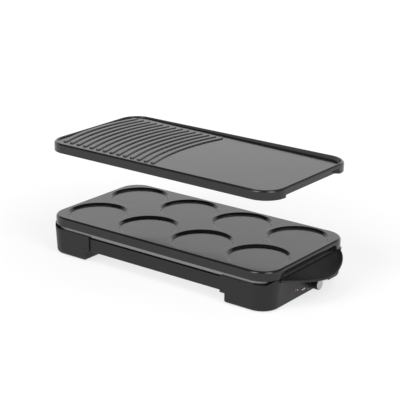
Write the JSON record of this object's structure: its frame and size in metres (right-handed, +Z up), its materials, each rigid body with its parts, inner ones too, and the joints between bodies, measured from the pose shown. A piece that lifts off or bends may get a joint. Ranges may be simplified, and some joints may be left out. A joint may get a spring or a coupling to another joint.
{
  "type": "electric griddle",
  "caption": "Electric griddle: a base with wing handles and thermostat dial, a pancake mould plate on it, and a ribbed grill plate held above it.",
  "frame": {"origin": "on the floor under the middle of the base", "axes": "+X along the long side towards the dial, +Y to the back, +Z up"},
  "size_m": [0.52, 0.226, 0.191],
  "materials": {
    "nonstick_cast": "cast aluminium under a satin dark grey non-stick coating with a fine speckle",
    "black_plastic": "moulded black heat-resistant plastic with a fine matt spark texture",
    "zinc_sheet": "zinc-plated pressed sheet steel",
    "tray_steel": "bright aluminised sheet steel",
    "foot_rubber": "soft black rubber",
    "element_sheath": "drawn steel sheath darkened by heat",
    "ceramic_white": "unglazed white steatite ceramic",
    "thermoset_brown": "dark brown thermoset moulding",
    "screw_steel": "zinc-plated screw steel",
    "knob_plastic": "black plastic, fine matt texture",
    "cap_silver": "spun silver-coloured aluminium disc",
    "lens_red": "clear red moulded lens",
    "lamp_glass": "clear glass neon lamp",
    "gland_rubber": "black rubber bushing",
    "terminal_plastic": "off-white polyamide",
    "wire_brown": "brown silicone insulation",
    "wire_blue": "blue silicone insulation",
    "wire_green": "green and yellow insulation",
    "wire_white": "white glass-fibre sleeving"
  },
  "bodies": {
    "base": {"right_end_housing": "black_plastic", "left_end_housing": "black_plastic", "front_side_panel": "black_plastic", "back_side_panel": "black_plastic", "bottom_plate": "zinc_sheet", "reflector_tray": "tray_steel", "foot_front_left": "foot_rubber", "foot_front_right": "foot_rubber", "foot_back_left": "foot_rubber", "foot_back_right": "foot_rubber", "heating_element": "element_sheath", "element_pins": "zinc_sheet", "element_insulators": "ceramic_white", "element_supports": "tray_steel", "thermostat_body": "thermoset_brown", "thermostat_bracket": "zinc_sheet", "bracket_screws": "screw_steel", "indicator_lens": "lens_red", "indicator_lamp": "lamp_glass", "cable_gland": "gland_rubber", "gland_nut": "knob_plastic", "cord_clamp": "thermoset_brown", "terminal_block": "terminal_plastic", "wire_live": "wire_brown", "wire_switched": "wire_brown", "wire_neutral": "wire_blue", "wire_earth": "wire_green", "lamp_leads": "wire_white", "thermal_fuse": "ceramic_white", "tray_screws": "screw_steel", "bottom_screws": "screw_steel", "clamp_screws": "screw_steel"},
    "pancake_plate": {"pancake_plate": "nonstick_cast"},
    "grill_plate": {"grill_plate": "nonstick_cast"},
    "dial": {"dial_knob": "knob_plastic", "dial_cap": "cap_silver", "thermostat_shaft": "screw_steel"}
  },
  "joints": [
    {"name": "pancake_plate_lift", "type": "slide", "parent": "base", "child": "pancake_plate", "axis": [0, 0, 1], "range_m": [0, 0.05]},
    {"name": "grill_plate_lift", "type": "slide", "parent": "pancake_plate", "child": "grill_plate", "axis": [0, 0, 1], "range_m": [-0.1105, 0.05]},
    {"name": "dial_turn", "type": "hinge", "parent": "base", "child": "dial", "pos_m": [0.2213, 0.008, 0.0165], "axis": [-1, 0, 0], "range_deg": [0, 270]}
  ]
}
